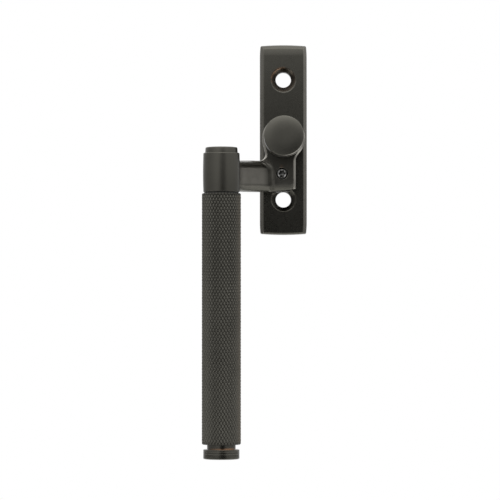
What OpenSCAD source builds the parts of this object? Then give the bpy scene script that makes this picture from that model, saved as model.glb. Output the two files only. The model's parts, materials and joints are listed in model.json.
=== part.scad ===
// Cranked handle for an espagnolette window bolt, left handed.
// X points right and Z up as the handle is seen from inside the room, and Y points into the window.
// The origin is on the pivot axis, in the plane of the plate's back, midway between the fixing holes.
// Heights above the plate's back are measured along -Y, towards the hand.

/* [Back plate] */
// Height of the plate
plate_h = 68.2; // [64:0.2:80]
// Width of the plate
plate_w = 16.8; // [16.5:0.1:24]
// Thickness of the plate at its middle
plate_t = 5.5; // [5:0.1:6]
// How far the front of the plate falls away at its top and bottom ends
plate_arch = 1.1; // [0.4:0.1:1.5]
// Width of the bevel round the front
plate_bevel = 1.3; // [0.5:0.1:2]
// Radius of the plate's corners
plate_corner_r = 1.2; // [0.5:0.1:3]
// Distance between the two fixing holes
fixing_pitch = 43; // [40:0.5:48]
// Diameter of the fixing holes
fixing_d = 5.5; // [4:0.1:6]
// Diameter of the countersinks at the front
countersink_d = 9; // [7:0.1:11]

/* [Boss and neck] */
// Diameter of the round boss
boss_d = 15.2; // [14.4:0.1:16]
// Height of the boss's face above the plate's back
boss_top = 12.5; // [11.5:0.1:14]
// Distance from the pivot axis to the right side of the neck
neck_right = 4.3; // [3.5:0.1:6]
// Distance from the pivot axis down to the bottom of the neck
neck_drop = 19; // [17:0.1:22]
// Height of the neck and the arm along the plate
arm_h = 10.8; // [9:0.1:12]

/* [Knob] */
// Diameter of the pivot knob
knob_d = 14; // [12:0.1:15]
// Height of the knob's face above the plate's back
knob_top = 26.5; // [20:0.5:32]
// Rise of the knob's domed face
knob_dome = 0.45; // [0.1:0.05:1]

/* [Arm] */
// Thickness of the arm
arm_t = 5.6; // [5:0.1:6]
// Radius of the arm's inner bend
arm_bend_r = 12; // [8:0.5:14]
// Distance from the pivot axis to the grip's axis, to the left
grip_offset = 21.8; // [20:0.1:26]
// Height of the grip's axis above the plate's back
grip_top = 38; // [34:0.5:48]

/* [Collar and grip] */
// Diameter of the collar
collar_d = 12.74; // [12:0.02:14]
// Height of the top of the collar below the pivot axis
collar_drop = 6.9; // [5:0.1:8]
// Length of the collar
collar_len = 13.6; // [12:0.1:16]
// Diameter of the cap on the collar
cap_d = 11.25; // [9:0.05:12]
// Height of the cap on the collar
cap_h = 1.95; // [1.5:0.05:3]
// Diameter of the knurled grip
grip_d = 13.5; // [12:0.1:16]
// Length of the knurled grip
grip_len = 86.5; // [60:0.1:120]
// Diameter of the rod inside the grip
rod_d = 6; // [5:0.1:7]
// Diameter of the groove above the end disc
end_neck_d = 9.85; // [8:0.05:11]
// Height of the groove above the end disc
end_neck_h = 1.7; // [1:0.1:3]
// Diameter of the end disc
end_disc_d = 12.45; // [11:0.05:14]
// Height of the end disc
end_disc_h = 3.3; // [2:0.1:6]

/* [Spindle and lock] */
// Width across the flats of the square spindle
spindle_w = 7; // [6:0.1:7]
// Length of the spindle behind the plate
spindle_reach = 35; // [20:1:60]
// Diameter of the lock screw
lock_d = 4; // [3:0.1:4]
// Distance from the pivot axis down to the lock screw
lock_drop = 12.6; // [12:0.1:14]
// Distance from the pivot axis to the lock screw, to the left
lock_left = 0.6; // [0:0.1:1]

/* [Hidden] */

$fn = 96;
eps = 0.01;

// Fits
run_gap = 0.03;
press_gap = 0.01;
face_gap = 0.05;

// Colours of the aged bronze finish and of the plain inner pieces
bronze = [0.23, 0.22, 0.2];
dark_bronze = [0.15, 0.14, 0.13];
nylon = [0.1, 0.1, 0.1];
steel = [0.6, 0.6, 0.62];
spring_steel = [0.35, 0.35, 0.37];

// Back plate
arch_r = (plate_h * plate_h / 4 + plate_arch * plate_arch) / (2 * plate_arch);
bevel_drop = 1.5;
journal_d = 12;
bush_wall = 0.75;
bush_bore_d = journal_d + 2 * (run_gap + bush_wall + press_gap);
flange_d = 15;
flange_t = 0.7;
recess_d = 15.2;
recess_depth = 2.8;
pocket_d = 4.5;
pocket_depth = 3.9;

// Stack behind the plate, as heights above its back
groove_d = 11;
groove_bottom = 0.6;
groove_h = 1;
ring_t = 0.9;
ring_d = 14.2;
ring_opening = 3;
spring_bottom = groove_bottom + groove_h;
spring_t = 0.4;
spring_rise = 0.3;
spring_d = 14.2;
washer_t = 0.4;
washer_d = 15;
washer_bore_d = 12.3;
journal_end = 0.25;

// Crank
boss_bottom = plate_t + flange_t + face_gap;
neck_fillet_r = 1.2;
neck_left = 6.4;
foot_rise = 0.9;
arm_root = 8.3;
arm_top = neck_drop - arm_h;
arm_mid = -(arm_top + neck_drop) / 2;
arm_edge_r = 1.4;
arm_front = boss_bottom + arm_t;
bend_mid_r = arm_bend_r + arm_t / 2;
bend_x = neck_right - 9.3;
bend_y = -(arm_front + arm_bend_r);
arm_run_x = bend_x - bend_mid_r;
collar_bottom = -(collar_drop + collar_len);

// Spigot that the knob is pressed onto, and the pin through the boss
spigot_d = 9;
spigot_h = 7;
spindle_front = boss_bottom + 4.9;
pin_d = 2;
pin_height = boss_bottom + 2.9;
pin_len = 14.8;

// Grip
spacer_h = 0.35;
spacer_d = 11.8;
sleeve_top = collar_bottom - spacer_h;
sleeve_bottom = sleeve_top - grip_len;
sleeve_chamfer = 0.35;
edge_r = 0.4;
cap_top = -collar_drop + cap_h;
rod_top = cap_top - 0.9;
rod_grip = 3;
disc_top = sleeve_bottom - end_neck_h;
disc_bottom = disc_top - end_disc_h;

// Lock screw
lock_len = 6;
lock_tip_d = 2.6;
lock_tip_len = 1;
lock_sunk = 0.1;
lock_socket_w = 2;
lock_socket_depth = 2.4;

// Turns children from face coordinates, x right, y up and z out of the wall, into the row's own axes.
module facing() {
    rotate([90, 0, 0]) children();
}

// A disc or tube on the pivot axis between two heights above the plate's back.
module on_pivot(low, high, d, bore_d = 0) {
    facing() translate([0, 0, low]) difference() {
        cylinder(d = d, h = high - low);
        if (bore_d > 0) translate([0, 0, -1]) cylinder(d = bore_d, h = high - low + 2);
    }
}

// A bar's section with round edges, centred.
module round_bar(w, h, r) {
    square([w - 2 * r, h], center = true);
    square([w, h - 2 * r], center = true);
    for (sx = [-1, 1], sy = [-1, 1])
        translate([sx * (w / 2 - r), sy * (h / 2 - r)]) circle(r = r);
}

// Places children on the grip's axis, at the height of the pivot axis.
module on_grip() {
    translate([-grip_offset, -grip_top, 0]) children();
}

// The front of the plate across its width, with its bevels run on past the plate's sides.
module plate_section() {
    flat = plate_w / 2 - plate_bevel;
    wide = flat + 2 * plate_bevel;
    low = arch_r - 2 * plate_t;
    polygon([
        [low, -wide], [arch_r - 2 * bevel_drop, -wide], [arch_r, -flat],
        [arch_r, flat], [arch_r - 2 * bevel_drop, wide], [low, wide]
    ]);
}

// The arched front is a slice of a large wheel whose axis lies along X.
module arched_blank() {
    spread = 2 * asin((plate_h / 2 + 1) / arch_r);
    translate([0, 0, plate_t - arch_r]) rotate([0, 90, 0]) rotate([0, 0, 180 - spread / 2])
        rotate_extrude(angle = spread, $fn = 1440) plate_section();
}

// What is cut away above the bevel at the plate's top end.
module end_bevel_cut() {
    edge_h = plate_t - plate_arch - bevel_drop;
    slope = bevel_drop / plate_bevel;
    reach = 2;
    rotate([90, 0, 90]) linear_extrude(plate_w + 2, center = true) polygon([
        [plate_h / 2 + reach, edge_h - reach * slope], [plate_h / 2 + reach, edge_h + 2 * reach * slope],
        [plate_h / 2 - 2 * reach, edge_h + 2 * reach * slope]
    ]);
}

// The plate's outline with round corners, and a bevel at the top and bottom ends.
module plate_outline() {
    difference() {
        linear_extrude(plate_t + 1) round_bar(plate_w, plate_h, plate_corner_r);
        end_bevel_cut();
        mirror([0, 1, 0]) end_bevel_cut();
    }
}

module fixing_hole() {
    sink = (countersink_d - fixing_d) / 2;
    front = plate_t - fixing_pitch * fixing_pitch / (8 * arch_r);
    translate([0, 0, -1]) cylinder(d = fixing_d, h = plate_t + 2);
    translate([0, 0, front - sink]) cylinder(d1 = fixing_d, d2 = countersink_d + 2, h = sink + 1);
}

module back_plate() {
    color(bronze) facing() difference() {
        intersection() {
            arched_blank();
            plate_outline();
        }
        for (side = [-1, 1]) translate([0, side * fixing_pitch / 2, 0]) fixing_hole();
        translate([0, 0, -1]) cylinder(d = recess_d, h = recess_depth + 1);
        translate([0, 0, -1]) cylinder(d = bush_bore_d, h = plate_t + 2);
        translate([-lock_left, -lock_drop, plate_t - pocket_depth]) cylinder(d = pocket_d, h = plate_t);
    }
}

module pivot_bush() {
    inner = journal_d + 2 * run_gap;
    color(nylon) {
        difference() {
            union() {
                on_pivot(recess_depth, plate_t + eps, bush_bore_d - 2 * press_gap);
                on_pivot(plate_t, plate_t + flange_t, flange_d);
            }
            on_pivot(0, boss_top, inner);
        }
    }
}

module thrust_washer() {
    color(steel) on_pivot(recess_depth - face_gap - washer_t, recess_depth - face_gap, washer_d, washer_bore_d);
}

// A dished ring: its inner edge bears on the retaining ring and its outer edge on the thrust washer.
module disc_spring() {
    inner = journal_d / 2 + 0.15;
    outer = spring_d / 2;
    color(spring_steel) facing() translate([0, 0, spring_bottom]) rotate_extrude()
        polygon([[inner, 0], [outer, spring_rise], [outer, spring_rise + spring_t], [inner, spring_t]]);
}

// An open snap ring in the journal's groove.
module retaining_ring() {
    color(spring_steel) facing() translate([0, 0, groove_bottom + (groove_h - ring_t) / 2])
        linear_extrude(ring_t) difference() {
            circle(d = ring_d);
            circle(d = groove_d + 2 * run_gap);
            translate([0, -ring_d / 2]) square([ring_opening, ring_d / 2], center = true);
        }
}

// The round boss runs straight into the neck; a small hollow joins its right side to the neck.
module neck_outline() {
    boss_r = boss_d / 2;
    corner_x = neck_right + neck_fillet_r;
    corner_y = -sqrt(pow(boss_r + neck_fillet_r, 2) - pow(corner_x, 2));
    difference() {
        union() {
            circle(r = boss_r);
            polygon([
                [0, 0], [corner_x, corner_y], [neck_right, corner_y], [neck_right, -neck_drop + foot_rise],
                [-neck_left, -neck_drop], [-arm_root, -neck_drop], [-arm_root, -arm_top],
                [-neck_left, -arm_top + neck_fillet_r], [-neck_left, -boss_r / 2]
            ]);
        }
        translate([corner_x, corner_y]) circle(r = neck_fillet_r);
    }
}

// The arm leaves the neck to the left, bends away from the plate and runs into the back of the collar.
module arm() {
    translate([bend_x, bend_y, arm_mid]) rotate([0, 0, 90]) rotate_extrude(angle = 90)
        translate([bend_mid_r, 0]) round_bar(arm_t, arm_h, arm_edge_r);
    translate([arm_run_x, bend_y, arm_mid]) rotate([90, 0, 0])
        linear_extrude(grip_top + bend_y) round_bar(arm_t, arm_h, arm_edge_r);
}

module collar() {
    chamfer = 0.25;
    r = collar_d / 2;
    on_grip() rotate_extrude()
        polygon([
            [0, collar_bottom], [r - chamfer, collar_bottom], [r, collar_bottom + chamfer],
            [r, -collar_drop - chamfer], [r - chamfer, -collar_drop], [0, -collar_drop]
        ]);
}

module spindle_bar(w) {
    facing() translate([-w / 2, -w / 2, -spindle_reach]) cube([w, w, spindle_reach + spindle_front]);
}

module spindle_pin_bar(d) {
    translate([0, -pin_height, 0]) rotate([0, 90, 0]) cylinder(d = d, h = pin_len, center = true);
}

module crank() {
    color(bronze) difference() {
        union() {
            facing() translate([0, 0, boss_bottom]) linear_extrude(boss_top - boss_bottom) neck_outline();
            arm();
            collar();
            on_pivot(boss_top - eps, boss_top + spigot_h, spigot_d);
            on_pivot(spring_bottom, boss_bottom + eps, journal_d);
            on_pivot(groove_bottom - eps, spring_bottom + eps, groove_d);
            on_pivot(journal_end, groove_bottom, journal_d);
        }
        spindle_bar(spindle_w + 2 * press_gap);
        spindle_pin_bar(pin_d + 2 * press_gap);
        on_grip() translate([0, 0, collar_bottom - 1]) cylinder(d = rod_d + 2 * press_gap, h = collar_len + 2);
        facing() translate([-lock_left, -lock_drop, 0]) cylinder(d = lock_d + 2 * run_gap, h = boss_top + 1);
    }
}

// A hollow knob: straight side, round edge and a slightly domed face.
module pivot_knob() {
    r = knob_d / 2;
    face_r = (pow(r - edge_r, 2) + knob_dome * knob_dome) / (2 * knob_dome);
    color(bronze) facing() difference() {
        intersection() {
            union() {
                translate([0, 0, boss_top]) cylinder(r = r, h = knob_top - knob_dome - edge_r - boss_top);
                translate([0, 0, boss_top]) cylinder(r = r - edge_r, h = knob_top - boss_top);
                translate([0, 0, knob_top - knob_dome - edge_r])
                    rotate_extrude() translate([r - edge_r, 0]) circle(r = edge_r);
            }
            translate([0, 0, knob_top - face_r]) sphere(r = face_r, $fn = 360);
        }
        translate([0, 0, boss_top - 1]) cylinder(d = spigot_d + 2 * press_gap, h = spigot_h + 1.2);
    }
}

module spindle() {
    color(steel) difference() {
        spindle_bar(spindle_w);
        spindle_pin_bar(pin_d + 2 * press_gap);
    }
}

module spindle_pin() {
    color(dark_bronze) spindle_pin_bar(pin_d);
}

module collar_cap() {
    r = cap_d / 2;
    low = -collar_drop;
    color(bronze) on_grip() difference() {
        rotate_extrude() union() {
            translate([0, low]) square([r, cap_h - edge_r]);
            translate([0, low]) square([r - edge_r, cap_h]);
            translate([r - edge_r, cap_top - edge_r]) circle(r = edge_r);
        }
        translate([0, 0, low - 1]) cylinder(d = rod_d + 2 * press_gap, h = rod_top - low + 1);
    }
}

module spacer_ring() {
    color(dark_bronze) on_grip() translate([0, 0, sleeve_top]) difference() {
        cylinder(d = spacer_d, h = spacer_h);
        translate([0, 0, -1]) cylinder(d = rod_d + 2 * press_gap, h = spacer_h + 2);
    }
}

module grip_rod() {
    bottom = disc_top - rod_grip + end_neck_h;
    color(steel) on_grip() translate([0, 0, bottom]) cylinder(d = rod_d, h = rod_top - bottom);
}

module grip_sleeve() {
    r = grip_d / 2;
    bore_r = rod_d / 2 + press_gap;
    color(bronze) on_grip() rotate_extrude() polygon([
        [bore_r, sleeve_bottom], [r - sleeve_chamfer, sleeve_bottom], [r, sleeve_bottom + sleeve_chamfer],
        [r, sleeve_top - sleeve_chamfer], [r - sleeve_chamfer, sleeve_top], [bore_r, sleeve_top]
    ]);
}

module end_cap() {
    r = end_disc_d / 2;
    color(bronze) on_grip() difference() {
        rotate_extrude() union() {
            translate([0, disc_top - eps]) square([end_neck_d / 2, end_neck_h + eps]);
            translate([0, disc_bottom + edge_r]) square([r, end_disc_h - 2 * edge_r]);
            translate([0, disc_bottom]) square([r - edge_r, end_disc_h]);
            for (z = [disc_bottom + edge_r, disc_top - edge_r]) translate([r - edge_r, z]) circle(r = edge_r);
        }
        translate([0, 0, disc_top - rod_grip + end_neck_h - 0.2])
            cylinder(d = rod_d + 2 * press_gap, h = rod_grip + 1);
    }
}

// A socket set screw with a plain round tip that enters the plate's pocket when it is screwed in.
module lock_screw() {
    head = boss_top - lock_sunk;
    color(steel) facing() translate([-lock_left, -lock_drop, 0]) difference() {
        union() {
            translate([0, 0, head - lock_len + lock_tip_len]) cylinder(d = lock_d, h = lock_len - lock_tip_len);
            translate([0, 0, head - lock_len]) cylinder(d = lock_tip_d, h = lock_tip_len + eps);
        }
        translate([0, 0, head - lock_socket_depth])
            cylinder(d = lock_socket_w / cos(30), h = lock_socket_depth + 1, $fn = 6);
    }
}

back_plate();
pivot_bush();
thrust_washer();
crank();
pivot_knob();
spindle();
spindle_pin();
disc_spring();
retaining_ring();
collar_cap();
spacer_ring();
grip_rod();
grip_sleeve();
end_cap();
lock_screw();
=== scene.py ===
"""A left-handed cranked espagnolette window handle in aged bronze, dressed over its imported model.

X is right, Z is up and the window is towards +Y. Shapes are worked out in millimetres, and a height h is
measured from the back plate's rear face towards the hand, along -Y. Meshes become metres when they are made.
"""

import json
import math

import bpy
import numpy as np
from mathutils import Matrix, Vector


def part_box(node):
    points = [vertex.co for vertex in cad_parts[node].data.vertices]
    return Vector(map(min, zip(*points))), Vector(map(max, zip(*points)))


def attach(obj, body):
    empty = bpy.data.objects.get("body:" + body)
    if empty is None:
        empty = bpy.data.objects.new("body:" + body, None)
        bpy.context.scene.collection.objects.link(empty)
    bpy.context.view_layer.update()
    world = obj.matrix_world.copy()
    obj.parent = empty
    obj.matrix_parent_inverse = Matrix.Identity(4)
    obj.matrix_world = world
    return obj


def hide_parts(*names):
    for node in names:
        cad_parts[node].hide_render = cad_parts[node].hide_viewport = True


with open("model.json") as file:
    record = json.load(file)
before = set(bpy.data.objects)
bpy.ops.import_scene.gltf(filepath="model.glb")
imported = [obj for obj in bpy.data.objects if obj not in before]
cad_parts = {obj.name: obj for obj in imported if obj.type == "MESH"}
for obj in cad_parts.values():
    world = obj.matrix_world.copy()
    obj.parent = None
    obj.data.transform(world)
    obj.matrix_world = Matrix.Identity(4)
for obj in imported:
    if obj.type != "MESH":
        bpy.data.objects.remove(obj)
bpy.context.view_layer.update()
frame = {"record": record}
MM = 0.001
SLOT = {part["node"]: part["material_slot"] for part in frame["record"]["subparts"]}


# ---------------------------------------------------------------- sizes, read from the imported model

def box_mm(node):
    """A node's lowest and highest corners in millimetres."""
    low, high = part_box(node)
    return np.array(low) / MM, np.array(high) / MM


PLATE_LOW, PLATE_HIGH = box_mm("back_plate")
CRANK_LOW, CRANK_HIGH = box_mm("crank")
KNOB_LOW, KNOB_HIGH = box_mm("pivot_knob")
CAP_LOW, CAP_HIGH = box_mm("collar_cap")
SPACER_LOW, SPACER_HIGH = box_mm("spacer_ring")
SLEEVE_LOW, SLEEVE_HIGH = box_mm("grip_sleeve")
ROD_LOW, ROD_HIGH = box_mm("grip_rod")
END_LOW, END_HIGH = box_mm("end_cap")
SCREW_LOW, SCREW_HIGH = box_mm("lock_screw")
SPINDLE_LOW, SPINDLE_HIGH = box_mm("spindle")
PIN_LOW, PIN_HIGH = box_mm("spindle_pin")
BUSH_LOW, BUSH_HIGH = box_mm("pivot_bush")
WASHER_LOW, WASHER_HIGH = box_mm("thrust_washer")
SPRING_LOW, SPRING_HIGH = box_mm("disc_spring")
RING_LOW, RING_HIGH = box_mm("retaining_ring")

# Plate
HALF_W, HALF_H, PLATE_T = PLATE_HIGH[0], PLATE_HIGH[2], -PLATE_LOW[1]
ARCH = 1.1  # fall of the front face from the middle to the ends
END_BOW = 0.36  # how much further the middle of each end stands out than its corners
SIDE_BEVEL, SIDE_DROP = 1.22, 1.5
TOP_EASE, EASE_LENGTH = math.radians(11), 2.5  # slope and length of the roll at the top end
FIXING_Z = frame["record"]["mounts"][0]["dims"]["spacing_y_mm"] / 2
FIXING_R = frame["record"]["mounts"][0]["dims"]["hole_r_mm"]
COUNTERSINK_R = 4.4
RECESS_R, RECESS_DEPTH, BUSH_SEAT_R = 7.6, 2.8, 6.79
POCKET_R, POCKET_FLOOR = 2.25, 1.6

# Crank
BOSS_R = 7.6
BOSS_TOP = -KNOB_HIGH[1]
FLANGE_TOP = -BUSH_LOW[1]
BOSS_BOTTOM = FLANGE_TOP + 0.05
NECK_RIGHT, NECK_SLOPE = 4.3, 0.214
FOOT, FOOT_SLANT = 18.05, 0.1
FOOT_ROLL_Z, FOOT_ROLL_R = -14.0, 9.5
EDGE_CHAMFER = 0.64
SCOOP_X, SCOOP_Z, SCOOP_REACH, SCOOP_RISE = -8.3, -13.0, 3.65, 4.9
CREASE_SLOPE, CREASE_CUT, CREASE_LENGTH = 0.4, 0.52, 1.077
ARM_TOP, ARM_BOTTOM = -8.2, -19.0
ARM_BEND_X, ARM_BEND_H, ARM_BEND_R = -1.0, 28.55, 17.0  # arc of the face towards the hand
ARM_BACK_X, ARM_BACK_H, ARM_BACK_R = -5.0, 23.85, 17.6  # arc of the face towards the plate
SPIGOT_R, SPIGOT_HIGH = 4.5, 7
JOURNAL_R, GROOVE_R = 6, 5.5
GRIP_X = (SLEEVE_LOW[0] + SLEEVE_HIGH[0]) / 2
GRIP_H = -(SLEEVE_LOW[1] + SLEEVE_HIGH[1]) / 2
COLLAR_R = GRIP_X - CRANK_LOW[0]
COLLAR_TOP, COLLAR_BOTTOM = CAP_LOW[2], SPACER_HIGH[2]
SCREW_X = (SCREW_LOW[0] + SCREW_HIGH[0]) / 2
SCREW_Z = (SCREW_LOW[2] + SCREW_HIGH[2]) / 2
PIN_H = -(PIN_LOW[1] + PIN_HIGH[1]) / 2
ROD_R = (ROD_HIGH[0] - ROD_LOW[0]) / 2
ROD_BORE_R = ROD_R + 0.02

# Knob
DOME, DOME_POWER = 0.45, 3.6

# Knurl of the grip sleeve
KNURL_STARTS = 36
KNURL_PITCH = 2.04
KNURL_DEPTH = 0.27
KNURL_STEPS = 6  # mesh columns and rows to each diamond
SLEEVE_CHAMFER = 0.3

AXIS = 0.02  # radius at which an open turned profile starts and ends


# ---------------------------------------------------------------- camera

def make_camera():
    """A long lens in front of the handle at the height of the grip, tipped up a little."""
    data = bpy.data.cameras.new("camera")
    data.sensor_width = 36
    data.lens = 190.4
    data.clip_end = 50
    camera = bpy.data.objects.new("camera", data)
    bpy.context.scene.collection.objects.link(camera)
    camera.location = (-0.01194, -0.9497, -0.06384)
    camera.rotation_euler = (math.radians(90 + 1.473), 0, 0)
    bpy.context.scene.camera = camera


# ---------------------------------------------------------------- distance fields, negative inside

def both(a, b, r):
    """Inside both shapes, with the edge between them rounded to radius r."""
    over = np.hypot(np.maximum(a + r, 0), np.maximum(b + r, 0))
    return np.minimum(np.maximum(a, b), -r) + over


def either(a, b, r):
    """Inside either shape, with a hollow of radius r where they meet."""
    return -both(-a, -b, r)


def less(a, b, r):
    """Shape a with b taken away, its rim rounded to radius r."""
    return both(a, -b, r)


def within(value, low, high):
    """Distance to the slab between two parallel planes."""
    return np.maximum(low - value, value - high)


def step(value, low, high):
    """0 below low, 1 above high and smooth between."""
    t = np.clip((value - low) / (high - low), 0, 1)
    return t * t * (3 - 2 * t)


def row_axes(p):
    """x, h and z of points given in the row's own axes."""
    return p[:, 0], -p[:, 1], p[:, 2]


def plate_slope(x, h, z):
    """The front face, the side bevel and the side of the plate, which draws in a little near its ends."""
    taper_length, taper = 4.5, 0.3
    near_end = np.maximum(np.abs(z) - (HALF_H - taper_length), 0) / taper_length
    width = HALF_W - taper * near_end**2
    face = h - PLATE_T + ARCH * (z / HALF_H) ** 2
    bevel = (np.abs(x) - width + SIDE_BEVEL) * SIDE_DROP + face * SIDE_BEVEL
    return face, bevel / math.hypot(SIDE_DROP, SIDE_BEVEL), np.abs(x) - width


def countersink(x, h, z, centre):
    """The through hole and the cone of one countersunk fixing hole."""
    radius = np.hypot(x, z - centre)
    rim = PLATE_T - ARCH * (FIXING_Z / HALF_H) ** 2
    return radius - FIXING_R, (radius - COUNTERSINK_R + rim - h) / math.sqrt(2)


def plate_field(p):
    """Arched front, bevelled sides, rolled ends, countersunk holes, and a recess behind."""
    x, h, z = row_axes(p)
    face, bevel, side = plate_slope(x, h, z)
    end = np.abs(z) - HALF_H + END_BOW * (x / HALF_W) ** 2
    ease_z = HALF_H - EASE_LENGTH
    eased = (h - PLATE_T + ARCH * (ease_z / HALF_H) ** 2) * math.cos(TOP_EASE) + (z - ease_z) * math.sin(TOP_EASE)
    body = both(both(face, eased, 0.2), end, np.where(z < 0, 0.9, 1.5))
    body = both(body, bevel, 0.2)
    body = both(body, both(side, end, 0.5), 0.25)
    body = both(body, -h, 0.25)
    for centre in (-FIXING_Z, FIXING_Z):
        hole, cone = countersink(x, h, z, centre)
        body = less(less(body, cone, 0.1), hole, 0.12)
    pivot = np.hypot(x, z)
    body = less(body, np.maximum(pivot - RECESS_R, h - RECESS_DEPTH), 0.15)
    body = less(body, pivot - BUSH_SEAT_R, 0.1)
    pocket = np.hypot(x - SCREW_X, z - SCREW_Z) - POCKET_R
    return less(body, np.maximum(pocket, POCKET_FLOOR - h), 0.15)


def keyhole(x, z):
    """The outline of the pad: a round boss, the neck below it and the web that runs out to the arm."""
    boss = np.hypot(x, z) - BOSS_R
    slanted = (-x - NECK_SLOPE * z) / math.hypot(1, NECK_SLOPE) - BOSS_R
    left = np.maximum(slanted, np.maximum(x - 1, z + 1.6))
    right = np.maximum(x - NECK_RIGHT, np.maximum(-1 - x, z))
    outline = either(np.minimum(boss, left), right, 1.3)
    return either(outline, np.maximum(z - ARM_TOP, x), 3.0)


def scoop_edge(x, z):
    """The hollow left of the pad, negative inside: a quarter ellipse above and a straight side below."""
    u, v = np.maximum(x - SCOOP_X, 0) / SCOOP_REACH, np.maximum(z - SCOOP_Z, 0) / SCOOP_RISE
    return (np.hypot(u, v) - 1) * SCOOP_REACH


def pad_parts(x, h, z):
    """The pad's top face, outline, chamfer, hollow, the hollow's softened edge, and the foot."""
    outline = keyhole(x, z)
    roll = np.hypot(np.maximum(FOOT_ROLL_Z - z, 0), np.maximum(h - BOSS_TOP + FOOT_ROLL_R, 0)) - FOOT_ROLL_R
    top = np.maximum(h - BOSS_TOP, roll)
    chamfer = (outline + top + np.where(x > 0, EDGE_CHAMFER, EDGE_CHAMFER - 0.12)) / math.sqrt(2)
    hollow = -scoop_edge(x, z)
    crease = (hollow * CREASE_SLOPE + top + CREASE_CUT) / CREASE_LENGTH
    foot = -z - FOOT - FOOT_SLANT * (NECK_RIGHT - x)
    return top, outline, chamfer, hollow, crease, foot


def pad(x, h, z):
    """The flat keyhole-shaped body over the plate: the boss and the neck."""
    top, outline, chamfer, hollow, crease, foot = pad_parts(x, h, z)
    body = both(both(top, outline, 0.1), chamfer, 0.18)
    body = both(both(body, hollow, 0.3), crease, 0.1)
    body = both(body, foot, 0.3)
    return both(body, BOSS_BOTTOM - h, 0.3)


def arm(x, h, z):
    """The bar that leaves the neck to the left and bends away from the plate, up to the collar."""
    outer = np.hypot(np.maximum(ARM_BACK_X - x, 0), np.maximum(ARM_BACK_H - h, 0)) - ARM_BACK_R
    outer = np.where(x > ARM_BACK_X, BOSS_BOTTOM - h, outer)
    inner = np.hypot(np.maximum(ARM_BEND_X - x, 0), np.maximum(ARM_BEND_H - h, 0)) - ARM_BEND_R
    body = both(-inner, z - ARM_TOP, 3.1)
    body = both(body, ARM_BOTTOM - z, 2.8)
    body = both(body, outer, 1.4)
    body = both(body, h - GRIP_H, 0.3)
    return np.maximum(body, x - 2)


def collar(x, h, z):
    """The barrel on the grip's axis, a hair narrower at its ends."""
    middle, half = (COLLAR_TOP + COLLAR_BOTTOM) / 2, (COLLAR_TOP - COLLAR_BOTTOM) / 2
    barrel = 0.13 * ((z - middle) / half) ** 2
    round_side = np.hypot(x - GRIP_X, h - GRIP_H) - COLLAR_R + barrel
    body = both(round_side, z - COLLAR_TOP, 0.24)
    return both(body, COLLAR_BOTTOM - z, 0.3)


def crank_field(p):
    """The casting: journal, boss, neck, arm and collar blended into one."""
    x, h, z = row_axes(p)
    body = either(pad(x, h, z), arm(x, h, z), 1.0)
    body = either(body, collar(x, h, z), 1.0)
    pivot = np.hypot(x, z)
    spigot = both(pivot - SPIGOT_R, within(h, BOSS_TOP - 1, BOSS_TOP + SPIGOT_HIGH), 0.2)
    journal = both(pivot - JOURNAL_R, within(h, 0.25, BOSS_BOTTOM + 1), 0.15)
    ring_groove = np.maximum(GROOVE_R - pivot, within(h, 0.6, 1.6))
    body = np.minimum(np.minimum(body, spigot), less(journal, ring_groove, 0.05))
    square_hole = np.maximum(np.maximum(np.abs(x), np.abs(z)) - 3.52, h - 11.2)
    pin_hole = np.hypot(h - PIN_H, z) - 1.02
    screw_hole = np.hypot(x - SCREW_X, z - SCREW_Z) - 2.04
    rod_hole = np.hypot(x - GRIP_X, h - GRIP_H) - ROD_BORE_R
    for hole, edge in ((square_hole, 0.1), (pin_hole, 0.12), (screw_hole, 0.15), (rod_hole, 0.1)):
        body = less(body, hole, edge)
    return body


def spindle_field(p):
    """The square bar, its far end chamfered, with the cross hole for the pin."""
    x, h, z = row_axes(p)
    half, far = SPINDLE_HIGH[0], -SPINDLE_HIGH[1]
    bar = both(np.abs(x) - half, np.abs(z) - half, 0.35)
    bar = both(bar, within(h, far, -SPINDLE_LOW[1]), 0.25)
    for side in (np.abs(x), np.abs(z)):
        bar = np.maximum(bar, (side - half + 0.8 - (h - far)) / math.sqrt(2))
    return less(bar, np.hypot(h - PIN_H, z) - 1.01, 0.08)


def snap_ring_field(p):
    """The open snap ring in the journal's groove, its gap downwards."""
    x, h, z = row_axes(p)
    pivot = np.hypot(x, z)
    ring = both(pivot - RING_HIGH[0], 5.53 - pivot, 0.2)
    ring = both(ring, within(h, -RING_HIGH[1], -RING_LOW[1]), 0.2)
    return less(ring, np.maximum(np.abs(x) - 1.5, z), 0.25)


# ---------------------------------------------------------------- meshes

def slopes(field, p, span=0.01):
    """The field's gradient, by central differences."""
    out = np.empty_like(p)
    for axis in range(3):
        shift = np.zeros(3)
        shift[axis] = span
        out[:, axis] = (field(p + shift) - field(p - shift)) / (2 * span)
    return out


def grid_values(field, axes):
    """The field at every point of a grid, one layer at a time."""
    value = np.empty([len(a) for a in axes], np.float32)
    y, z = np.meshgrid(axes[1], axes[2], indexing="ij")
    for i, x in enumerate(axes[0]):
        layer = np.stack([np.full(y.size, x), y.ravel(), z.ravel()], axis=1)
        value[i] = field(layer).reshape(y.shape)
    return value


def cell_points(value, cells):
    """The mean of the level's crossings on the twelve edges of each cell, in cells."""
    total, hits = np.zeros((len(cells), 3)), np.zeros(len(cells))
    for axis in range(3):
        for a in (0, 1):
            for b in (0, 1):
                start = np.insert(np.array([a, b]), axis, 0)
                stop = start + np.eye(3, dtype=int)[axis]
                v0 = value[tuple((cells + start).T)]
                v1 = value[tuple((cells + stop).T)]
                hit = (v0 < 0) != (v1 < 0)
                share = np.where(hit, v0 / np.where(hit, v0 - v1, 1), 0)
                total += (start + np.outer(share, stop - start)) * hit[:, None]
                hits += hit
    return cells + total / hits[:, None]


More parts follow.
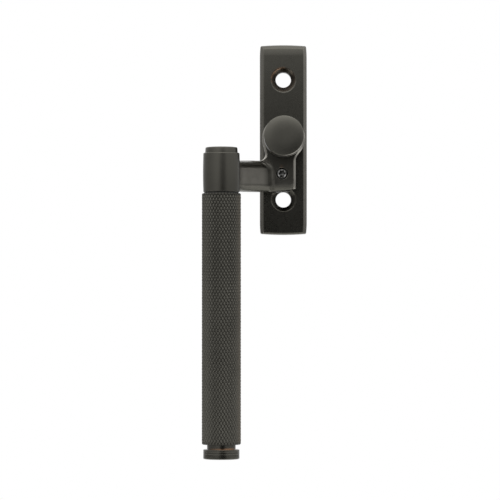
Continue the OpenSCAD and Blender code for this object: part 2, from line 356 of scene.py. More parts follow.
def net_quads(inside, number):
    """A quad round each grid edge that crosses the level."""
    quads = []
    counts = np.array(number.shape)
    for axis in range(3):
        b, c = (axis + 1) % 3, (axis + 2) % 3
        first = [slice(1, n) for n in counts]
        first[axis] = slice(0, counts[axis])
        second = list(first)
        second[axis] = slice(1, counts[axis] + 1)
        lower, upper = inside[tuple(first)], inside[tuple(second)]
        offset = np.ones(3, int)
        offset[axis] = 0
        for mask, flip in ((lower & ~upper, False), (~lower & upper, True)):
            at = np.argwhere(mask) + offset
            around = []
            for db, dc in ((-1, -1), (0, -1), (0, 0), (-1, 0)):
                spot = at.copy()
                spot[:, b] += db
                spot[:, c] += dc
                around.append(number[tuple(spot.T)])
            ring = np.stack(around, axis=1)
            quads.append(ring[:, ::-1] if flip else ring)
    return np.concatenate(quads)


def net_surface(field, low, high, cell):
    """Points and quads of a field's zero level: one point in each crossed cell, moved onto the level."""
    low, high = np.array(low) - 1.5 * cell, np.array(high) + 1.5 * cell
    counts = np.ceil((high - low) / cell).astype(int) + 1
    axes = [low[i] + cell * np.arange(counts[i]) for i in range(3)]
    value = grid_values(field, axes)
    inside = value < 0
    nx, ny, nz = counts - 1
    filled = np.zeros((nx, ny, nz), np.int8)
    for i in (0, 1):
        for j in (0, 1):
            for k in (0, 1):
                filled += inside[i:i + nx, j:j + ny, k:k + nz]
    crossed = (filled > 0) & (filled < 8)
    number = np.full(crossed.shape, -1, np.int64)
    number[crossed] = np.arange(crossed.sum())
    points = low + cell * cell_points(value, np.argwhere(crossed))
    quads = net_quads(inside, number)
    for _ in range(5):
        grad = slopes(field, points)
        size = np.maximum((grad**2).sum(axis=1), 0.05)
        move = -(field(points) / size)[:, None] * grad
        length = np.maximum(np.linalg.norm(move, axis=1), 1e-9)
        points += move * np.minimum(1, 0.4 * cell / length)[:, None]
    return points, quads


def rounded(corners, steps=5):
    """Corners given as (radius, height, rounding) turned into plain points, each corner into an arc."""
    out = []
    for i, (r, z, bend) in enumerate(corners):
        if bend == 0 or i == 0 or i == len(corners) - 1:
            out.append((r, z))
            continue
        here = np.array([r, z], float)
        back = np.array(corners[i - 1][:2], float) - here
        ahead = np.array(corners[i + 1][:2], float) - here
        back_size, ahead_size = np.linalg.norm(back), np.linalg.norm(ahead)
        bend = min(bend, 0.49 * back_size, 0.49 * ahead_size)
        a, c = here + back / back_size * bend, here + ahead / ahead_size * bend
        for k in range(steps + 1):
            t = k / steps
            out.append(tuple((1 - t) ** 2 * a + 2 * t * (1 - t) * here + t**2 * c))
    return out


def turned(profile, sides=144, closed=False):
    """A turned shape about local Z from (radius, height) points; a radius may be a function of the angle.

    A closed profile is a loop, as for a ring. An open one starts and ends on the axis.
    """
    angles = np.arange(sides) * 2 * math.pi / sides
    rings = []
    for r, z in profile:
        radius = r(angles) if callable(r) else np.full(sides, float(r))
        rings.append(np.stack([radius * np.cos(angles), radius * np.sin(angles), np.full(sides, z)], axis=1))
    verts = np.concatenate(rings)
    count = len(rings)
    faces = []
    for ring in range(count if closed else count - 1):
        a, b = ring * sides, (ring + 1) % count * sides
        for s in range(sides):
            t = (s + 1) % sides
            faces.append((a + s, a + t, b + t, b + s))
    if not closed:
        for ring, last in ((0, False), (count - 1, True)):
            verts = np.vstack([verts, verts[ring * sides:(ring + 1) * sides].mean(axis=0)])
            pole = len(verts) - 1
            for s in range(sides):
                a, b = ring * sides + s, ring * sides + (s + 1) % sides
                faces.append((a, b, pole) if last else (b, a, pole))
    return verts, faces


def facing(shape):
    """Turns a shape made about local Z so that Z points out of the plate."""
    verts, faces = shape
    return np.stack([verts[:, 0], -verts[:, 2], verts[:, 1]], axis=1), faces


def on_grip(shape):
    """Moves a shape made about local Z onto the grip's axis."""
    verts, faces = shape
    return verts + np.array([GRIP_X, -GRIP_H, 0]), faces


def piece(name, shape, node, body, material, sharp=35, field=None, marks=None):
    """A mesh that stands for a CAD node and rides on its body; marks are named values at its points.

    Its normals come from the field where there is one, and otherwise break at edges sharper than the angle.
    """
    verts, faces = shape
    verts = np.asarray(verts, float)
    mesh = bpy.data.meshes.new(name)
    mesh.from_pydata((verts * MM).tolist(), [], [tuple(int(v) for v in f) for f in faces])
    mesh.shade_smooth()
    if field is None:
        mesh.set_sharp_from_angle(angle=math.radians(sharp))
    else:
        grad = slopes(field, verts, 0.03)
        grad /= np.maximum(np.linalg.norm(grad, axis=1), 1e-9)[:, None]
        mesh.normals_split_custom_set_from_vertices(grad.tolist())
    for label, values in (marks or {}).items():
        layer = mesh.attributes.new(name=label, type="FLOAT", domain="POINT")
        layer.data.foreach_set("value", np.asarray(values, np.float32))
    obj = bpy.data.objects.new(name, mesh)
    bpy.context.scene.collection.objects.link(obj)
    mesh.materials.append(material)
    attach(obj, body)
    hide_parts(node)


# ---------------------------------------------------------------- materials

class Shader:
    """A material's node tree, with short calls for the nodes that it needs."""

    def __init__(self, name, metallic, roughness):
        self.material = bpy.data.materials.new(name)
        self.material.use_nodes = True
        self.tree = self.material.node_tree
        self.out = self.tree.nodes["Principled BSDF"]
        self.out.inputs["Metallic"].default_value = metallic
        self.out.inputs["Roughness"].default_value = roughness
        self.place = self.tree.nodes.new("ShaderNodeTexCoord").outputs["Object"]

    def link(self, source, target):
        """Links a socket to the target, or sets the target to a plain value."""
        if hasattr(source, "is_output"):
            self.tree.links.new(source, target)
        else:
            target.default_value = source

    def math(self, operation, a, b=0.0, clamp=False):
        node = self.tree.nodes.new("ShaderNodeMath")
        node.operation = operation
        node.use_clamp = clamp
        self.link(a, node.inputs[0])
        self.link(b, node.inputs[1])
        return node.outputs[0]

    def noise(self, size_mm, detail=2.0, stretch=(1, 1, 1), rough=0.5):
        """Noise of the given grain size, drawn out along an axis by its stretch."""
        mapping = self.tree.nodes.new("ShaderNodeMapping")
        mapping.inputs["Scale"].default_value = [1 / (size_mm * MM * s) for s in stretch]
        self.tree.links.new(self.place, mapping.inputs["Vector"])
        node = self.tree.nodes.new("ShaderNodeTexNoise")
        node.inputs["Scale"].default_value = 1
        node.inputs["Detail"].default_value = detail
        node.inputs["Roughness"].default_value = rough
        self.tree.links.new(mapping.outputs["Vector"], node.inputs["Vector"])
        return node.outputs["Fac"]

    def spread(self, value, low, high, to_low, to_high):
        """Takes low...high smoothly to to_low...to_high."""
        node = self.tree.nodes.new("ShaderNodeMapRange")
        node.interpolation_type = "SMOOTHSTEP"
        for key, number in (("From Min", low), ("From Max", high), ("To Min", to_low), ("To Max", to_high)):
            node.inputs[key].default_value = number
        self.link(value, node.inputs["Value"])
        return node.outputs["Result"]

    def blend(self, factor, a, b):
        node = self.tree.nodes.new("ShaderNodeMix")
        node.data_type = "RGBA"
        self.link(factor, node.inputs["Factor"])
        self.link(a, node.inputs["A"])
        self.link(b, node.inputs["B"])
        return node.outputs["Result"]

    def mark(self, label):
        """A value that the mesh carries at its points; 0 on a mesh without it."""
        node = self.tree.nodes.new("ShaderNodeAttribute")
        node.attribute_name = label
        return node.outputs["Fac"]

    def bump(self, *layers):
        """Bump layers of (height, depth in millimetres), each on top of the last."""
        normal = None
        for height, depth in layers:
            node = self.tree.nodes.new("ShaderNodeBump")
            node.inputs["Strength"].default_value = 1
            node.inputs["Distance"].default_value = depth * MM
            self.tree.links.new(height, node.inputs["Height"])
            if normal is not None:
                self.tree.links.new(normal, node.inputs["Normal"])
            normal = node.outputs["Normal"]
        self.tree.links.new(normal, self.out.inputs["Normal"])

    def set(self, key, value):
        self.link(value, self.out.inputs[key])


def tone(level, warmth=(1.0, 0.965, 0.835)):
    """A colour of the given level, by default the faintly yellow grey of the bronze."""
    return tuple(level * w for w in warmth) + (1,)


BARE_COPPER = (0.62, 0.33, 0.17, 1)


def aged_bronze(name, level=0.09, rough=0.33, grain=0.004, brush=(1, 1, 1), grimy_and_shaded=False):
    """Dark satin bronze: clouded colour, a fine brushed grain, lighter edges that are partly rubbed and partly painted
    highlight, spots of bare copper that also carry a painted glint, and, if asked for, grooves darkened by grime and
    painted shade.
    """
    s = Shader(name, 1.0, rough)
    cloud = s.noise(14, 3)
    mottle = s.noise(2.2, 4, rough=0.6)
    base = s.blend(s.spread(cloud, 0.3, 0.7, 0, 1), tone(level * 0.93), tone(level * 1.07))
    base = s.blend(s.spread(mottle, 0.55, 0.8, 0, 0.35), base, tone(level * 0.8, (1.0, 0.93, 0.8)))
    # The lighter rubbed colour: partly real rubbed bronze, partly painted highlight where light would catch an edge or
    # face.
    rub_and_highlight = s.math("MULTIPLY", s.mark("wear_and_highlight"), s.spread(mottle, 0.2, 0.6, 0.75, 1.1))
    base = s.blend(rub_and_highlight, base, tone(level * 4.5, (1.0, 0.955, 0.86)))
    # Bare copper flecks; on the end cap this mark also carries a painted glint.
    flecks = s.spread(s.noise(0.9, 4, brush, rough=0.7), 0.36, 0.56, 0.15, 1)
    bare = s.math("MULTIPLY", s.mark("copper_and_glint"), flecks, clamp=True)
    base = s.blend(bare, base, BARE_COPPER)
    # Darker in the grooves: partly patina and grime, partly painted shade where the knurl shades itself.
    if grimy_and_shaded:
        base = s.blend(s.math("MULTIPLY", s.mark("grime_and_shade"), 0.8), base, tone(level * 0.12))
    s.set("Base Color", base)
    satin = s.spread(s.noise(1.1, 3), 0.3, 0.7, rough - 0.01, rough + 0.015)
    satin = s.math("SUBTRACT", satin, s.math("MULTIPLY", rub_and_highlight, 0.06), clamp=True)
    s.set("Roughness", satin)
    s.bump((s.noise(0.35, 3, brush), grain), (s.noise(6, 2), 0.012))
    return s.material


def plain_steel(name, level, rough, warmth=(1.0, 0.99, 0.96)):
    """Plated steel: faint clouding, rolled grain and small stains."""
    s = Shader(name, 1.0, rough)
    cloud = s.noise(6, 3)
    stain = s.spread(s.noise(1.5, 5, rough=0.65), 0.58, 0.75, 0, 0.55)
    base = s.blend(s.spread(cloud, 0.3, 0.7, 0, 1), tone(level * 0.9, warmth), tone(level * 1.1, warmth))
    base = s.blend(stain, base, tone(level * 0.55, (1.0, 0.93, 0.84)))
    # Lighter where the mesh's mark is set; on the lock screw that mark is a painted highlight on the lead-in ring.
    s.set("Base Color", s.blend(s.mark("wear_and_highlight"), base, tone(0.42, warmth)))
    s.set("Roughness", s.spread(s.noise(0.8, 3), 0.3, 0.7, rough - 0.05, rough + 0.08))
    s.bump((s.noise(0.25, 3, (1, 8, 1)), 0.006))
    return s.material


def moulded_nylon(name, level, rough):
    """Matt moulded plastic with a fine eggshell grain."""
    s = Shader(name, 0.0, rough)
    base = s.blend(s.spread(s.noise(3, 3), 0.3, 0.7, 0, 1), tone(level, (1, 1, 1)), tone(level * 1.5, (1, 0.98, 0.95)))
    s.set("Base Color", base)
    s.set("Roughness", s.spread(s.noise(0.6, 2), 0.3, 0.7, rough - 0.06, rough + 0.06))
    s.bump((s.noise(0.12, 2), 0.004))
    return s.material


MATERIAL = {
    "aged_bronze_plate": aged_bronze("aged_bronze_plate", rough=0.28, grain=0.0012),
    "aged_bronze_casting": aged_bronze("aged_bronze_casting"),
    "aged_bronze_turned": aged_bronze("aged_bronze_turned", brush=(6, 6, 1)),
    "aged_bronze_knurl": aged_bronze("aged_bronze_knurl", level=0.113, rough=0.38, grimy_and_shaded=True),
    "dark_spacer": moulded_nylon("dark_spacer", 0.012, 0.6),
    "nylon": moulded_nylon("nylon", 0.02, 0.5),
    "washer_steel": plain_steel("washer_steel", 0.5, 0.3),
    "spindle_steel": plain_steel("spindle_steel", 0.48, 0.32),
    "spring_steel": plain_steel("spring_steel", 0.18, 0.38),
    "screw_steel": plain_steel("screw_steel", 0.055, 0.3),
}
OWN_FINISH = {
    "pivot_knob": aged_bronze("aged_bronze_knob", level=0.125, rough=0.35, brush=(3, 3, 1)),
    "end_cap": aged_bronze("aged_bronze_end", level=0.085, rough=0.25, grain=0.002, brush=(8, 8, 1)),
}


def finish_of(node):
    """The material of a node: its own where it has one, or else its slot's."""
    return OWN_FINISH.get(node, MATERIAL[SLOT[node]])


# ---------------------------------------------------------------- pieces

def angle_on_grip(verts):
    """The angle of points round the grip's axis, 0 towards the hand and growing to the right."""
    return np.arctan2(verts[:, 0] - GRIP_X, -(verts[:, 1] + GRIP_H))


def make_plate():
    """The plate, lighter on its bevels, partly rubbed and partly painted highlight, and down to copper round the upper
    countersink.
    """
    verts, faces = net_surface(plate_field, PLATE_LOW, PLATE_HIGH, 0.26)
    x, h, z = row_axes(verts)
    face, bevel, _ = plate_slope(x, h, z)
    # The bevels are lighter, partly rubbed edges and partly painted highlight: the right bevel gets more, where the
    # light from the right falls.
    on_bevel = step(-np.abs(bevel), -0.12, -0.02) * step(-face, 0.02, 0.2) * step(h, 1.5, 3.5)
    wear_and_highlight = on_bevel * np.where(x > 0, 0.25, 0.19)
    copper_and_glint = np.zeros(len(verts))
    for centre, amount in ((FIXING_Z, 1.0), (-FIXING_Z, 0.12)):
        _, cone = countersink(x, h, z, centre)
        rim = np.hypot(x, z - centre)
        angle = np.degrees(np.arctan2(z - centre, x))
        off_upper_left = np.abs((angle - 135 + 180) % 360 - 180)
        arc = np.clip(1 - off_upper_left / 62, 0, 1) ** 0.5
        edge = step(-np.abs(rim - COUNTERSINK_R + 0.25), -0.6, -0.1)
        inner = step(-cone, -0.3, -0.05) * step(COUNTERSINK_R + 0.1 - rim, 0, 0.3) * 0.06
        copper_and_glint += amount * np.maximum(0.34 * edge * arc * step(h, 3.0, 4.2), inner)
    piece("plate_shell", (verts, faces), "back_plate", "plate", finish_of("back_plate"),
          field=plate_field, marks={"wear_and_highlight": wear_and_highlight, "copper_and_glint": copper_and_glint})


def make_crank():
    """The casting, lighter on its chamfers, partly rubbed and partly painted highlight, with painted highlights beside
    the scoop, along the arm and at the foot.
    """
    verts, faces = net_surface(crank_field, CRANK_LOW, CRANK_HIGH, 0.22)
    x, h, z = row_axes(verts)
    top, _, chamfer, hollow, crease, _ = pad_parts(x, h, z)
    # The chamfers: partly rubbed edges, partly painted highlight; less on the left chamfer near the knob.
    on_chamfer = step(-np.abs(chamfer), -0.2, -0.04) * step(top, -1.2, -0.7) * step(-hollow, 0.0, 0.3)
    on_chamfer = on_chamfer * np.where(x < 0, 1.0 - 0.6 * step(z, -3.5, 0.5), 0.6)
    # A painted highlight along the crease beside the scoop.
    on_crease = step(-np.abs(crease), -0.2, -0.03) * step(top, -0.9, -0.5) * step(-top, 0.02, 0.15)
    on_crease = 0.35 * on_crease * step(z, -17.5, -14.5) * step(-z, 6.8, 8.2)
    # A painted highlight on the arm's face, stronger along its top and towards the collar.
    on_arm = 0.22 + 0.35 * step(z, -11.6, -9.8) + 0.3 * step(-x, 12.5, 15.5)
    on_arm = on_arm * step(hollow, 0.3, 3.0) * step(collar(x, h, z), 0.2, 1.0) * step(z, -17.8, -16.0)
    # A painted highlight on the roll of the foot.
    on_foot = 0.2 * step(top, -0.3, -0.05) * step(-hollow, 0.2, 0.6) * step(-z, 14, 15.5) * step(z, -17.6, -16.2)
    wear_and_highlight = np.maximum(np.maximum(on_chamfer, on_crease) * step(x, -12, -9), np.maximum(on_arm, on_foot))
    spot = np.hypot(x - SCREW_X + 0.1, z - SCREW_Z - 2.5)
    copper_and_glint = 0.1 * step(-spot, -1.0, -0.2) * step(h, BOSS_TOP - 0.3, BOSS_TOP - 0.1)
    piece("crank_casting", (verts, faces), "crank", "handle", finish_of("crank"),
          field=crank_field, marks={"wear_and_highlight": wear_and_highlight, "copper_and_glint": copper_and_glint})


def make_knob():
    """A turned knob over the spigot. Its face is a dome that falls away most near the rim."""
    r, low, top = KNOB_HIGH[0], -KNOB_HIGH[1], -KNOB_LOW[1]
    bore, floor = SPIGOT_R + 0.01, BOSS_TOP + SPIGOT_HIGH + 0.2

    def dome(radius):
        return top - DOME * (radius / r) ** DOME_POWER

    shoulder = r - 0.09
    rim_top, edge = dome(shoulder), 0.97 * shoulder
    profile = rounded([
        (AXIS, floor, 0), (bore, floor, 0.1), (bore, low, 0.15), (r - 0.05, low, 0.12), (r, low + 0.8, 0.3),
        (r, rim_top - 0.1, 0.04), (shoulder, rim_top, 0.05), (edge, dome(edge), 0)])
    rings = 24
    for k in range(rings):
        radius = edge * (1 - (k + 1) / (rings + 0.2))
        profile.append((radius, dome(radius)))
    verts, faces = facing(turned(profile))
    x, h, z = row_axes(verts)
    # A painted highlight on the rim, at its lower right only.
    rim = step(np.hypot(x, z), r - 0.25, r - 0.1) * step(h, rim_top - 0.4, rim_top - 0.1)
    lower_right = step(x, -1, 2) * step(-z, -3, 1)
    piece("knob", (verts, faces), "pivot_knob", "handle", finish_of("pivot_knob"),
          marks={"wear_and_highlight": 0.45 * rim * lower_right})


def make_bush():
    """The flanged bush that the journal turns in."""
    low, high = -BUSH_HIGH[1], FLANGE_TOP
    outer, flange, bore = BUSH_SEAT_R - 0.01, BUSH_HIGH[0], JOURNAL_R + 0.03
    loop = rounded([(bore, low, 0), (outer, low, 0.15), (outer, PLATE_T, 0.05), (flange, PLATE_T, 0.15),
                    (flange, high, 0.2), (bore, high, 0.15), (bore, low, 0)])[:-1]
    piece("bush", facing(turned(loop, closed=True)), "pivot_bush", "plate", finish_of("pivot_bush"))


def flat_ring(inner, outer, low, high, inner_edge, outer_edge):
    """A plain ring about local Z, its edges rounded."""
    middle = (low + high) / 2
    loop = rounded([(inner, middle, 0), (inner, low, inner_edge), (outer, low, outer_edge), (outer, high, outer_edge),
                    (inner, high, inner_edge), (inner, middle, 0)])[:-1]
    return turned(loop, closed=True)


def make_hidden_rings():
    """The washer, the dished spring and the snap ring in the recess behind the plate."""
    inner = JOURNAL_R + 0.15
    washer = flat_ring(inner, WASHER_HIGH[0], -WASHER_HIGH[1], -WASHER_LOW[1], 0.1, 0.1)
    piece("washer", facing(washer), "thrust_washer", "plate", finish_of("thrust_washer"))
    low, high = -SPRING_HIGH[1], -SPRING_LOW[1]
    outer, t = SPRING_HIGH[0], 0.4
    loop = rounded([(inner, low + 0.2, 0), (inner, low, 0.08), (outer, high - t, 0.08), (outer, high, 0.08),
                    (inner, low + t, 0.08), (inner, low + 0.2, 0)], 3)[:-1]
    piece("spring", facing(turned(loop, closed=True)), "disc_spring", "handle", finish_of("disc_spring"))
    verts, faces = net_surface(snap_ring_field, RING_LOW, RING_HIGH, 0.16)
    piece("snap_ring", (verts, faces), "retaining_ring", "handle", finish_of("retaining_ring"), field=snap_ring_field)


def make_spindle():
    """The square bar and the cross pin that holds it in the boss."""
    verts, faces = net_surface(spindle_field, SPINDLE_LOW, SPINDLE_HIGH, 0.24)
    piece("square_bar", (verts, faces), "spindle", "handle", finish_of("spindle"), field=spindle_field)
    half, r = PIN_HIGH[0], PIN_HIGH[2]
    profile = rounded([(AXIS, -half, 0), (r - 0.2, -half, 0.08), (r, -half + 0.25, 0.1), (r, half - 0.25, 0.1),
                       (r - 0.2, half, 0.08), (AXIS, half, 0)])
    verts, faces = turned(profile, 48)
    verts = np.stack([verts[:, 2], verts[:, 0] - PIN_H, verts[:, 1]], axis=1)
    piece("cross_pin", (verts, faces), "spindle_pin", "handle", finish_of("spindle_pin"))


def make_collar_cap():
    """The cap on the collar, blind bored for the rod."""
    r, low, high, roof = CAP_HIGH[0] - GRIP_X, CAP_LOW[2], CAP_HIGH[2], ROD_HIGH[2]
    profile = rounded([(AXIS, roof, 0), (ROD_BORE_R, roof, 0.05), (ROD_BORE_R, low, 0.05), (r, low, 0.03),
                       (r - 0.02, low + 0.35, 0.2), (r - 0.12, high, 0.42), (r * 0.5, high, 0.5), (AXIS, high, 0)])
    piece("cap", on_grip(turned(profile)), "collar_cap", "handle", finish_of("collar_cap"))


def make_spacer():
    """The dark ring between the collar and the sleeve."""
    ring = flat_ring(ROD_BORE_R, SPACER_HIGH[0] - GRIP_X, SPACER_LOW[2], SPACER_HIGH[2], 0.05, 0.1)
    piece("spacer", on_grip(ring), "spacer_ring", "handle", finish_of("spacer_ring"))


def make_rod():
    """The rod that runs through the grip, its ends chamfered."""
    low, high, chamfer = ROD_LOW[2], ROD_HIGH[2], 0.4
    profile = rounded([(AXIS, low, 0), (ROD_R - chamfer, low, 0.1), (ROD_R, low + chamfer, 0.2),
                       (ROD_R, high - chamfer, 0.2), (ROD_R - chamfer, high, 0.1), (AXIS, high, 0)])
    piece("core_rod", on_grip(turned(profile, 64)), "grip_rod", "handle", finish_of("grip_rod"))


def make_end_cap():
    """The grip's lower cap: a narrow neck above a disc with two turned lines, bare copper where they meet, with a
    painted glint strongest towards the front right.
    """
    r, low, high = END_HIGH[0] - GRIP_X, END_LOW[2], END_HIGH[2]
    neck, disc_top, roof = 4.92, high - 1.7, high - 3.2
    lines = []
    for z in (disc_top - 0.75, disc_top - 1.55):
        lines += [(r, z + 0.12, 0.04), (r - 0.025, z, 0.03), (r, z - 0.12, 0.04)]
    corners = [(AXIS, roof, 0), (ROD_BORE_R, roof, 0.05), (ROD_BORE_R, high, 0.05), (neck, high, 0.05),
               (neck, disc_top + 0.8, 0), (neck, disc_top + 0.55, 0), (neck, disc_top + 0.3, 0),
               (neck, disc_top, 0.15), (r, disc_top, 0.28), *lines, (r, low, 0.35), (r * 0.5, low, 0.5), (AXIS, low, 0)]
    verts, faces = on_grip(turned(rounded(corners)))
    faces = [face[::-1] for face in faces]
    angle, z = np.degrees(angle_on_grip(verts)), verts[:, 2]
    # Bare copper in the groove with a painted glint: strongest a little right of the front, fading round the sides.
    towards_right = np.clip(1.25 - np.abs(angle - 18) / 62, 0, 1)
    band = step(z, disc_top - 0.12, disc_top + 0.02) * step(-z, -disc_top - 0.7, -disc_top - 0.3)
    piece("grooved_cap", (verts, faces), "end_cap", "handle", finish_of("end_cap"),
          marks={"copper_and_glint": 0.42 * band * towards_right})


def knurl_height(turn, rise):
    """Height of a diamond knurl, 0 in its grooves and 1 on its peaks."""
    first = np.abs(turn + rise - np.round(turn + rise)) * 2
    second = np.abs(turn - rise - np.round(turn - rise)) * 2
    return np.sin(np.minimum(first, second) * math.pi / 2) ** 0.9


def make_sleeve():
    """A tube whose outside is cut with two crossing sets of helical grooves."""
    r, low, high = SLEEVE_HIGH[0] - GRIP_X, SLEEVE_LOW[2], SLEEVE_HIGH[2]
    columns = KNURL_STARTS * KNURL_STEPS
    pitch_step = KNURL_PITCH / KNURL_STEPS
    rows = int((high - low) / pitch_step)
    middle = (low + high) / 2
    j = np.arange(rows + 1) - rows // 2
    z = middle + j * pitch_step
    keep = (z > low + 0.05) & (z < high - 0.05)
    j, z = j[keep], z[keep]
    j = np.concatenate([[j[0] - 1], j, [j[-1] + 1]])
    z = np.concatenate([[low], z, [high]])
    turn, rise = np.meshgrid(np.arange(columns) / KNURL_STEPS, (z - middle) / KNURL_PITCH)
    radius = r - KNURL_DEPTH * (1 - knurl_height(turn, rise))
    end = np.minimum(z - low, high - z)
    chamfer = r - SLEEVE_CHAMFER + np.minimum(end, SLEEVE_CHAMFER)
    radius = np.minimum(radius, chamfer[:, None])
    angle = turn * 2 * math.pi / KNURL_STARTS
    outer = np.stack([radius * np.sin(angle), -radius * np.cos(angle), np.broadcast_to(z[:, None], radius.shape)], -1)
    verts = outer.reshape(-1, 3)
    faces = []
    for row in range(len(z) - 1):
        for column in range(columns):
            right = (column + 1) % columns
            a, b = row * columns + column, row * columns + right
            d, c = a + columns, b + columns
            # A cell that a groove crosses is cut along the groove, which keeps the groove straight.
            if (column + j[row] + 1) % KNURL_STEPS == 0:
                faces += [(a, b, d), (b, c, d)]
            elif (column - j[row]) % KNURL_STEPS == 0:
                faces += [(a, b, c), (a, c, d)]
            else:
                faces.append((a, b, c, d))
    count = len(z) * columns
    sin, cos = np.sin(angle[0]), np.cos(angle[0])
    ends = []
    for height in (low, high):
        for ring in (r - 1.2, ROD_BORE_R):
            ends.append(np.stack([ring * sin, -ring * cos, np.full(columns, height)], axis=1))
    verts = np.vstack([verts, *ends])
    top_row = (len(z) - 1) * columns
    for column in range(columns):
        right = (column + 1) % columns
        for a, b, flip in ((0, count, True), (count, count + columns, True), (top_row, count + 2 * columns, False),
                           (count + 2 * columns, count + 3 * columns, False),
                           (count + columns, count + 3 * columns, True)):
            face = (a + column, a + right, b + right, b + column)
            faces.append(face[::-1] if flip else face)
    verts, faces = on_grip((verts, faces))
    height = knurl_height(turn, rise) * np.clip((end[:, None] - 0.3) * 1.6, 0.1, 1)
    height = np.concatenate([height.ravel(), np.zeros(4 * columns)])
    # Bare copper on the knurl's peaks, on the right-hand side of the grip only.
    copper_and_glint = 0.09 * step(angle_on_grip(verts), 0.7, 1.4) * step(height, 0.3, 0.9)
    # The grooves are darkened towards their bottoms, partly patina and grime and partly painted shade.
    piece("knurled_sleeve", (verts, faces), "grip_sleeve", "handle", finish_of("grip_sleeve"), sharp=24,
          marks={"copper_and_glint": copper_and_glint, "grime_and_shade": (1 - height) ** 1.5})


def hexagon(across):
    """The radius of a hexagon at an angle, for its width across the flats."""
    return lambda a: across / 2 / np.cos(np.mod(a, math.pi / 3) - math.pi / 6)


def make_lock_screw():
    """A set screw with a round tip, a cut thread and a hexagon socket, its lead-in ring lightened as a painted
    highlight.
    """
    low, top, r = -SCREW_HIGH[1], -SCREW_LOW[1], SCREW_HIGH[0] - SCREW_X
    shank, tip, pitch, depth, ring_gap = low + 1.0, 1.3, 0.7, 0.22, 0.07
    profile = rounded([(AXIS, low, 0), (1.1, low, 0.1), (tip, low + 0.25, 0.1), (tip, shank, 0.05),
                       (r - 0.4, shank, 0)])

    def thread(z):
        """The thread's radius round one ring, fading out at both ends."""
        fade = min(1, max(0, (z - shank) / 0.6)) * min(1, max(0, (top - 0.55 - z) / 0.4))
        return lambda a: r - 0.03 - depth * fade * np.abs(((z / pitch - a / (2 * math.pi)) % 1) * 2 - 1)

    rings = int((top - 0.5 - shank) / ring_gap) - 3
    for z in shank + 0.3 + ring_gap * np.arange(rings):
        profile.append((thread(z), z))
    profile += rounded([(r - 0.03, top - 0.5, 0), (r - 0.02, top - 0.2, 0.1), (r - 0.3, top, 0.1), (1.46, top, 0.05),
                        (1.16, top - 0.28, 0)])
    socket = hexagon(2.0)
    for depth_in in (0.38, 0.5, 1.4, 2.3):
        profile.append((socket, top - depth_in))
    profile += [(lambda a: socket(a) * 0.96, top - 2.4), (0.9, top - 2.42), (AXIS, top - 2.7)]
    verts, faces = turned(profile, 96)
    verts, faces = facing((verts + np.array([SCREW_X, SCREW_Z, 0]), faces))
    x, h, z = row_axes(verts)
    ring = np.hypot(x - SCREW_X, z - SCREW_Z)
    # A painted highlight on the lead-in ring, fainter towards its top; the socket floor is lightened as well.
    lead_in = step(-np.abs(ring - 1.31), -0.19, -0.13) * step(h, top - 0.4, top - 0.3)
    lead_in = lead_in * (1 - 0.7 * step(z - SCREW_Z, 0.2, 1.0))
    socket_floor = 0.8 * step(-ring, -0.45, -0.2) * step(-h, -11, -9)
    piece("lock_grub_screw", (verts, faces), "lock_screw", "lock", finish_of("lock_screw"), sharp=30,
          marks={"wear_and_highlight": lead_in + socket_floor})


# ---------------------------------------------------------------- light and stage

def make_world():
    """Soft light from all round, brightest overhead, with the dark patch a camera and its operator make."""
    world = bpy.data.worlds.new("studio")
    bpy.context.scene.world = world
    world.use_nodes = True
    nodes, links = world.node_tree.nodes, world.node_tree.links

    def calc(operation, a, b=0.0):
        node = nodes.new("ShaderNodeMath")
        node.operation = operation
        for value, socket in ((a, node.inputs[0]), (b, node.inputs[1])):
            if hasattr(value, "is_output"):
                links.new(value, socket)
            else:
                socket.default_value = value
        return node.outputs[0]

    def ramp(value, *stops):
        """A level that follows (value, level) stops, the values within -1 to 1."""
        node = nodes.new("ShaderNodeValToRGB")
        points = node.color_ramp.elements
        while len(points) < len(stops):
            points.new(0.5)
        for point, (at, level) in zip(points, stops):
            point.position = (at + 1) / 2
            point.color = (level, level, level, 1)
        links.new(calc("ADD", calc("MULTIPLY", value, 0.5), 0.5), node.inputs["Fac"])
        return node.outputs["Color"]

    split = nodes.new("ShaderNodeSeparateXYZ")
    links.new(nodes.new("ShaderNodeTexCoord").outputs["Generated"], split.inputs[0])
    across, ahead, up = split.outputs
    height = ramp(up, (-1, 0.42), (-0.7, 0.38), (-0.35, 0.25), (-0.1, 0.26), (0.05, 0.38), (0.2, 0.55),
                  (0.35, 0.68), (0.7, 0.85), (1, 0.9))
    side = ramp(across, (-1, 0.62), (-0.64, 0.85), (-0.3, 0.95), (0.3, 0.95), (0.5, 0.88), (0.8, 0.76), (1, 0.72))
    off_x = calc("DIVIDE", calc("SUBTRACT", across, 0.16), 0.9)
    rise = calc("ADD", up, 0.21)
    off_z = calc("MAXIMUM", calc("DIVIDE", rise, 1.3), calc("DIVIDE", rise, -0.7))
    apart = calc("SQRT", calc("ADD", calc("MULTIPLY", off_x, off_x), calc("MULTIPLY", off_z, off_z)))
    core = ramp(apart, (0.0, 0.03), (0.15, 0.03), (0.28, 0.12), (0.37, 0.42), (0.46, 0.8), (0.58, 1.0))
    core = calc("MAXIMUM", core, ramp(ahead, (-0.3, 0.0), (0.0, 1.0)))
    level = calc("MULTIPLY", calc("MULTIPLY", height, side), core)
    soft = nodes["Background"]
    soft.inputs["Color"].default_value = (1, 1, 1, 1)
    links.new(calc("MULTIPLY", level, 2.0), soft.inputs["Strength"])
    white = nodes.new("ShaderNodeBackground")
    white.inputs["Color"].default_value = (1, 1, 1, 1)
    mix = nodes.new("ShaderNodeMixShader")
    links.new(nodes.new("ShaderNodeLightPath").outputs["Is Camera Ray"], mix.inputs["Fac"])
    links.new(soft.outputs[0], mix.inputs[1])
    links.new(white.outputs[0], mix.inputs[2])
    links.new(mix.outputs[0], nodes["World Output"].inputs["Surface"])


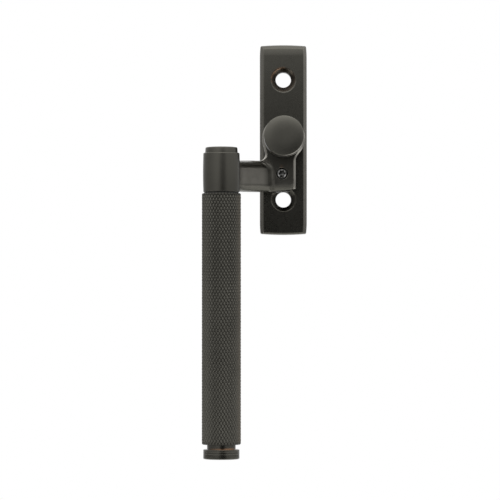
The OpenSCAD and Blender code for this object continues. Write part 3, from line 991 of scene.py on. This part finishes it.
def softbox(name, place, aim, size, watts):
    """A rectangular area light that faces its aim."""
    data = bpy.data.lights.new(name, "AREA")
    data.shape = "RECTANGLE"
    data.size, data.size_y = size
    data.energy = watts
    lamp = bpy.data.objects.new(name, data)
    bpy.context.scene.collection.objects.link(lamp)
    lamp.location = place
    lamp.rotation_euler = (Vector(aim) - Vector(place)).to_track_quat("-Z", "Y").to_euler()


def make_floor():
    """A plain pale sheet under the handle, with a rounded outline."""
    half_x, near, far, level, corner, thick = 0.35, -0.18, 0.37, -0.166, 0.12, 0.004
    outline = []
    for cx, cy, start in ((half_x - corner, far - corner, 0), (-half_x + corner, far - corner, 90),
                          (-half_x + corner, near + corner, 180), (half_x - corner, near + corner, 270)):
        for k in range(13):
            a = math.radians(start + k * 7.5)
            outline.append((cx + corner * math.cos(a), cy + corner * math.sin(a)))
    count = len(outline)
    verts = [(x, y, level) for x, y in outline] + [(x, y, level - thick) for x, y in outline]
    faces = [tuple(range(count)), tuple(range(2 * count - 1, count - 1, -1))]
    faces += [(count + k, count + (k + 1) % count, (k + 1) % count, k) for k in range(count)]
    mesh = bpy.data.meshes.new("floor")
    mesh.from_pydata(verts, [], faces)
    floor = bpy.data.objects.new("floor", mesh)
    bpy.context.scene.collection.objects.link(floor)
    s = Shader("floor_paper", 0.0, 0.7)
    s.set("Base Color", s.blend(s.spread(s.noise(40, 3), 0.3, 0.7, 0, 1), (0.86, 0.86, 0.85, 1), (0.9, 0.9, 0.89, 1)))
    mesh.materials.append(s.material)


make_camera()
make_plate()
make_bush()
make_hidden_rings()
make_crank()
make_knob()
make_spindle()
make_collar_cap()
make_spacer()
make_rod()
make_sleeve()
make_end_cap()
make_lock_screw()
make_world()
make_floor()
softbox("softbox_key", (-0.15, -0.75, 0.75), (-0.01, 0, -0.04), (0.9, 0.5), 0.8)
softbox("softbox_right", (0.85, -0.1, 0.1), (0, 0, -0.04), (0.7, 0.9), 0.12)
bpy.context.scene.view_settings.view_transform = "Standard"
